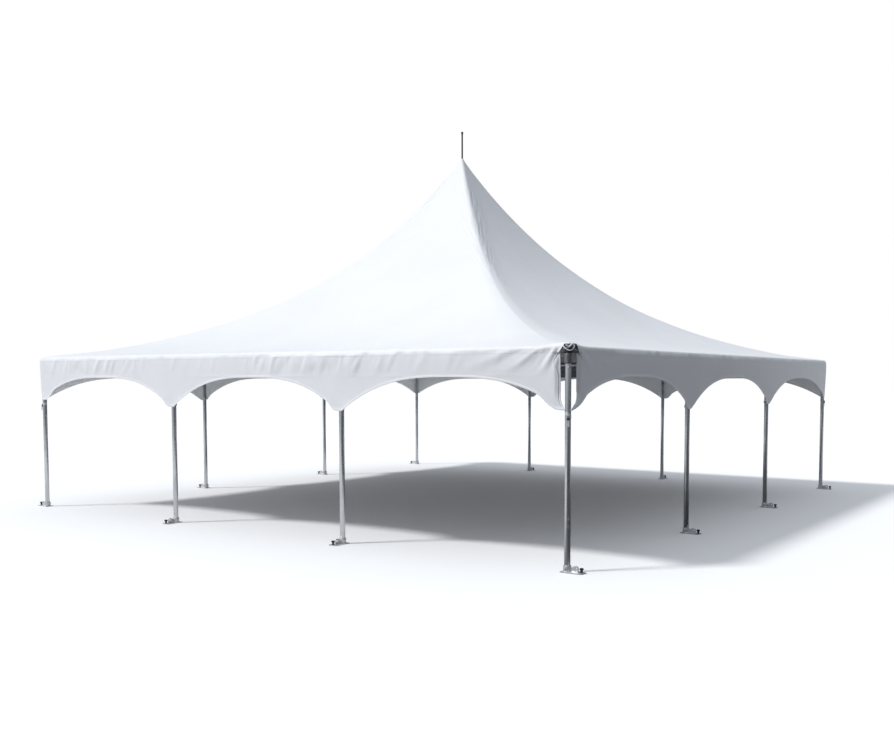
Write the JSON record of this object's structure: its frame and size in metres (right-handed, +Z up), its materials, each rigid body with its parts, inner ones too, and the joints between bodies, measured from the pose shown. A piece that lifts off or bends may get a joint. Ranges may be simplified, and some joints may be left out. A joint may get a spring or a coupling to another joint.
{
  "type": "marquee tent",
  "caption": "Square high-peak frame marquee, open on all sides, with a concave white canopy, scalloped valances and tube legs on anchor plates.",
  "frame": {"origin": "on the floor, midway between the legs, under the peak", "axes": "+Z up through the peak, -Y towards the front, +X to the right as seen from the front"},
  "size_m": [9.534, 9.534, 5.96],
  "materials": {
    "canopy_cloth": "white coated polyester cloth with a soft satin face",
    "frame_tube": "mill-finish drawn tube, lightly scuffed",
    "foot_zinc": "hot-dip galvanised plate",
    "fitting_casting": "galvanised pipe fitting",
    "cable_steel": "galvanised wire rope with steel forks",
    "rod_steel": "dark weathered steel rod"
  },
  "bodies": {
    "root": {"canopy_roof": "canopy_cloth", "peak_boot": "canopy_cloth", "valance_front_1": "canopy_cloth", "valance_front_2": "canopy_cloth", "valance_front_3": "canopy_cloth", "valance_right_1": "canopy_cloth", "valance_right_2": "canopy_cloth", "valance_right_3": "canopy_cloth", "valance_back_1": "canopy_cloth", "valance_back_2": "canopy_cloth", "valance_back_3": "canopy_cloth", "valance_left_1": "canopy_cloth", "valance_left_2": "canopy_cloth", "valance_left_3": "canopy_cloth", "leg_back_right": "frame_tube", "leg_back_left": "frame_tube", "leg_front_left": "frame_tube", "leg_front_right": "frame_tube", "leg_front_1": "frame_tube", "leg_front_2": "frame_tube", "leg_right_1": "frame_tube", "leg_right_2": "frame_tube", "leg_back_1": "frame_tube", "leg_back_2": "frame_tube", "leg_left_1": "frame_tube", "leg_left_2": "frame_tube", "rail_front": "frame_tube", "rail_right": "frame_tube", "rail_back": "frame_tube", "rail_left": "frame_tube", "mast": "frame_tube", "foot_back_right": "foot_zinc", "foot_back_left": "foot_zinc", "foot_front_left": "foot_zinc", "foot_front_right": "foot_zinc", "foot_front_1": "foot_zinc", "foot_front_2": "foot_zinc", "foot_right_1": "foot_zinc", "foot_right_2": "foot_zinc", "foot_back_1": "foot_zinc", "foot_back_2": "foot_zinc", "foot_left_1": "foot_zinc", "foot_left_2": "foot_zinc", "corner_back_right": "fitting_casting", "corner_back_left": "fitting_casting", "corner_front_left": "fitting_casting", "corner_front_right": "fitting_casting", "mast_foot": "fitting_casting", "cable_back_right": "cable_steel", "cable_back_left": "cable_steel", "cable_front_left": "cable_steel", "cable_front_right": "cable_steel", "mast_head": "rod_steel"}
  },
  "joints": []
}
